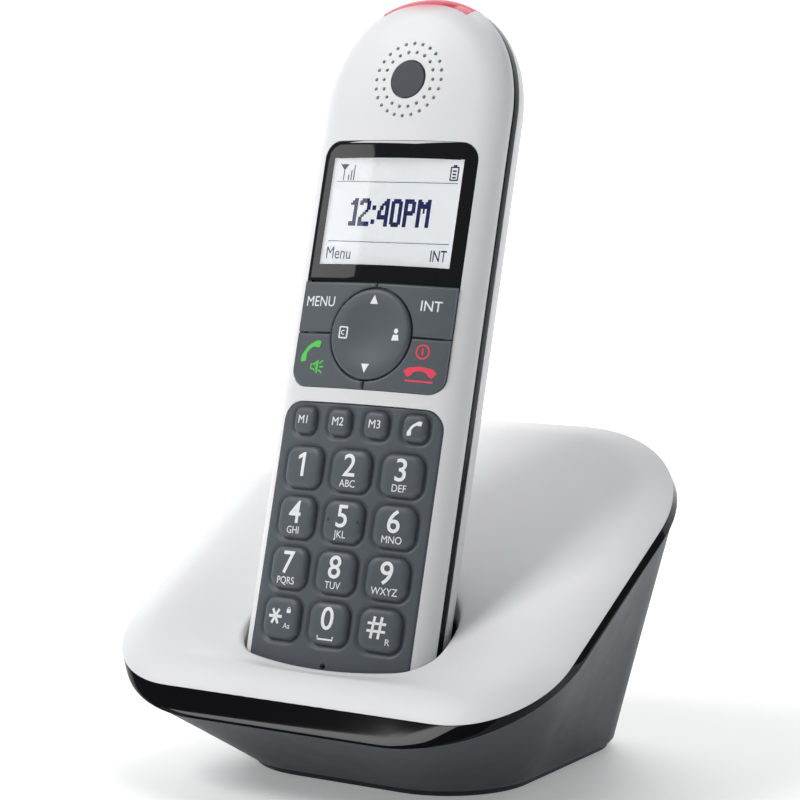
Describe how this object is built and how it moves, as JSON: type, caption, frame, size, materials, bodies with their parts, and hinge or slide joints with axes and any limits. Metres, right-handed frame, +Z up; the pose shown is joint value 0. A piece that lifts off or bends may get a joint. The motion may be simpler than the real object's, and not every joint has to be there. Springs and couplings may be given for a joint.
{
  "type": "cordless phone with base",
  "caption": "Cordless telephone handset with a large-key keypad and small display, leaning back in a wedge-shaped charging base with a sloping rounded cover.",
  "frame": {"origin": "bottom centre of the whole object, on the surface it stands on", "axes": "+Z up, +X to the right of someone facing the keys, +Y towards the back; the handset's face looks towards -Y"},
  "size_m": [0.1242, 0.1079, 0.1878],
  "materials": {
    "white_shell": "satin moulded, fine spark texture",
    "gloss_black": "polished",
    "light_strip": "translucent red",
    "window": "polished acrylic with black printed border",
    "display": "backlit liquid crystal",
    "emblem": "satin",
    "key_rubber": "satin coated silicone with printed legends",
    "slate_shell": "fine texture",
    "rubber": "matt",
    "board": "solder mask",
    "dome": "film",
    "dark_plastic": "moulded",
    "cell": "printed sleeve",
    "spring_steel": "nickel plated",
    "gold": "gold plated",
    "ballast": "zinc plated"
  },
  "bodies": {
    "base": {"base_cover": "white_shell", "base_band": "gloss_black", "base_lower_shell": "slate_shell", "base_bottom_plate": "slate_shell", "rubber_feet": "rubber", "base_screws": "spring_steel", "cradle_well": "slate_shell", "base_board": "board", "ballast_plate": "ballast", "line_jack": "dark_plastic", "power_jack": "dark_plastic"},
    "handset": {"battery_cell_left": "cell", "battery_cell_right": "cell", "battery_contacts": "spring_steel", "display_window": "window", "earpiece_receiver": "dark_plastic", "emblem_disc": "emblem", "handset_band": "gloss_black", "handset_board": "board", "handset_charge_contacts": "gold", "handset_front_shell": "white_shell", "handset_rear_shell": "white_shell", "handset_screws": "spring_steel", "key_dome_sheet": "dome", "keypad_mat": "key_rubber", "lcd_module": "display", "light_strip": "light_strip", "loudspeaker": "dark_plastic", "microphone": "dark_plastic"},
    "key_0_cap": {"key_0": "key_rubber"},
    "key_1_cap": {"key_1": "key_rubber"},
    "key_2_cap": {"key_2": "key_rubber"},
    "key_3_cap": {"key_3": "key_rubber"},
    "key_4_cap": {"key_4": "key_rubber"},
    "key_5_cap": {"key_5": "key_rubber"},
    "key_6_cap": {"key_6": "key_rubber"},
    "key_7_cap": {"key_7": "key_rubber"},
    "key_8_cap": {"key_8": "key_rubber"},
    "key_9_cap": {"key_9": "key_rubber"},
    "key_hash_cap": {"key_hash": "key_rubber"},
    "key_memory_1_cap": {"key_memory_1": "key_rubber"},
    "key_memory_2_cap": {"key_memory_2": "key_rubber"},
    "key_memory_3_cap": {"key_memory_3": "key_rubber"},
    "key_recall_cap": {"key_recall": "key_rubber"},
    "key_star_cap": {"key_star": "key_rubber"},
    "menu_key_cap": {"menu_key": "key_rubber"},
    "intercom_key_cap": {"intercom_key": "key_rubber"},
    "call_key_cap": {"call_key": "key_rubber"},
    "end_key_cap": {"end_key": "key_rubber"},
    "nav_rocker": {"nav_disc": "key_rubber"},
    "door": {"battery_door": "white_shell"},
    "page_button": {"page_key": "slate_shell"},
    "pin_left": {"charge_pin_left": "gold"},
    "pin_right": {"charge_pin_right": "gold"}
  },
  "joints": [
    {"name": "handset_lift", "type": "slide", "parent": "base", "child": "handset", "axis": [0, 0.2672, 0.9636], "range_m": [0, 0.1]},
    {"name": "key_0_press", "type": "slide", "parent": "handset", "child": "key_0_cap", "axis": [0, 0.9636, -0.2672], "range_m": [0, 0.0006], "stiffness_N_per_m": 1500, "springref_m": -0.0003},
    {"name": "key_1_press", "type": "slide", "parent": "handset", "child": "key_1_cap", "axis": [0, 0.9636, -0.2672], "range_m": [0, 0.0006], "stiffness_N_per_m": 1500, "springref_m": -0.0003},
    {"name": "key_2_press", "type": "slide", "parent": "handset", "child": "key_2_cap", "axis": [0, 0.9636, -0.2672], "range_m": [0, 0.0006], "stiffness_N_per_m": 1500, "springref_m": -0.0003},
    {"name": "key_3_press", "type": "slide", "parent": "handset", "child": "key_3_cap", "axis": [0, 0.9636, -0.2672], "range_m": [0, 0.0006], "stiffness_N_per_m": 1500, "springref_m": -0.0003},
    {"name": "key_4_press", "type": "slide", "parent": "handset", "child": "key_4_cap", "axis": [0, 0.9636, -0.2672], "range_m": [0, 0.0006], "stiffness_N_per_m": 1500, "springref_m": -0.0003},
    {"name": "key_5_press", "type": "slide", "parent": "handset", "child": "key_5_cap", "axis": [0, 0.9636, -0.2672], "range_m": [0, 0.0006], "stiffness_N_per_m": 1500, "springref_m": -0.0003},
    {"name": "key_6_press", "type": "slide", "parent": "handset", "child": "key_6_cap", "axis": [0, 0.9636, -0.2672], "range_m": [0, 0.0006], "stiffness_N_per_m": 1500, "springref_m": -0.0003},
    {"name": "key_7_press", "type": "slide", "parent": "handset", "child": "key_7_cap", "axis": [0, 0.9636, -0.2672], "range_m": [0, 0.0006], "stiffness_N_per_m": 1500, "springref_m": -0.0003},
    {"name": "key_8_press", "type": "slide", "parent": "handset", "child": "key_8_cap", "axis": [0, 0.9636, -0.2672], "range_m": [0, 0.0006], "stiffness_N_per_m": 1500, "springref_m": -0.0003},
    {"name": "key_9_press", "type": "slide", "parent": "handset", "child": "key_9_cap", "axis": [0, 0.9636, -0.2672], "range_m": [0, 0.0006], "stiffness_N_per_m": 1500, "springref_m": -0.0003},
    {"name": "key_hash_press", "type": "slide", "parent": "handset", "child": "key_hash_cap", "axis": [0, 0.9636, -0.2672], "range_m": [0, 0.0006], "stiffness_N_per_m": 1500, "springref_m": -0.0003},
    {"name": "key_memory_1_press", "type": "slide", "parent": "handset", "child": "key_memory_1_cap", "axis": [0, 0.9636, -0.2672], "range_m": [0, 0.0006], "stiffness_N_per_m": 1500, "springref_m": -0.0003},
    {"name": "key_memory_2_press", "type": "slide", "parent": "handset", "child": "key_memory_2_cap", "axis": [0, 0.9636, -0.2672], "range_m": [0, 0.0006], "stiffness_N_per_m": 1500, "springref_m": -0.0003},
    {"name": "key_memory_3_press", "type": "slide", "parent": "handset", "child": "key_memory_3_cap", "axis": [0, 0.9636, -0.2672], "range_m": [0, 0.0006], "stiffness_N_per_m": 1500, "springref_m": -0.0003},
    {"name": "key_recall_press", "type": "slide", "parent": "handset", "child": "key_recall_cap", "axis": [0, 0.9636, -0.2672], "range_m": [0, 0.0006], "stiffness_N_per_m": 1500, "springref_m": -0.0003},
    {"name": "key_star_press", "type": "slide", "parent": "handset", "child": "key_star_cap", "axis": [0, 0.9636, -0.2672], "range_m": [0, 0.0006], "stiffness_N_per_m": 1500, "springref_m": -0.0003},
    {"name": "menu_key_press", "type": "slide", "parent": "handset", "child": "menu_key_cap", "axis": [0, 0.9636, -0.2672], "range_m": [0, 0.0005], "stiffness_N_per_m": 1500, "springref_m": -0.0003},
    {"name": "intercom_key_press", "type": "slide", "parent": "handset", "child": "intercom_key_cap", "axis": [0, 0.9636, -0.2672], "range_m": [0, 0.0005], "stiffness_N_per_m": 1500, "springref_m": -0.0003},
    {"name": "call_key_press", "type": "slide", "parent": "handset", "child": "call_key_cap", "axis": [0, 0.9636, -0.2672], "range_m": [0, 0.0005], "stiffness_N_per_m": 1500, "springref_m": -0.0003},
    {"name": "end_key_press", "type": "slide", "parent": "handset", "child": "end_key_cap", "axis": [0, 0.9636, -0.2672], "range_m": [0, 0.0005], "stiffness_N_per_m": 1500, "springref_m": -0.0003},
    {"name": "nav_rock", "type": "hinge", "parent": "handset", "child": "nav_rocker", "pos_m": [0, -0.01351, 0.10773], "axis": [1, 0, 0], "range_deg": [-2.2, 2.2], "stiffness_Nm_per_rad": 0.3},
    {"name": "battery_door_release", "type": "slide", "parent": "handset", "child": "door", "axis": [0, 0.9636, -0.2672], "range_m": [0, 0.008]},
    {"name": "page_press", "type": "slide", "parent": "base", "child": "page_button", "axis": [0, -1, 0], "range_m": [0, 0.001], "stiffness_N_per_m": 1000, "springref_m": -0.0005},
    {"name": "charge_pin_left_press", "type": "slide", "parent": "base", "child": "pin_left", "axis": [0, -0.2672, -0.9636], "range_m": [0, 0.0005], "stiffness_N_per_m": 400, "springref_m": -0.0005},
    {"name": "charge_pin_right_press", "type": "slide", "parent": "base", "child": "pin_right", "axis": [0, -0.2672, -0.9636], "range_m": [0, 0.0005], "stiffness_N_per_m": 400, "springref_m": -0.0005}
  ]
}
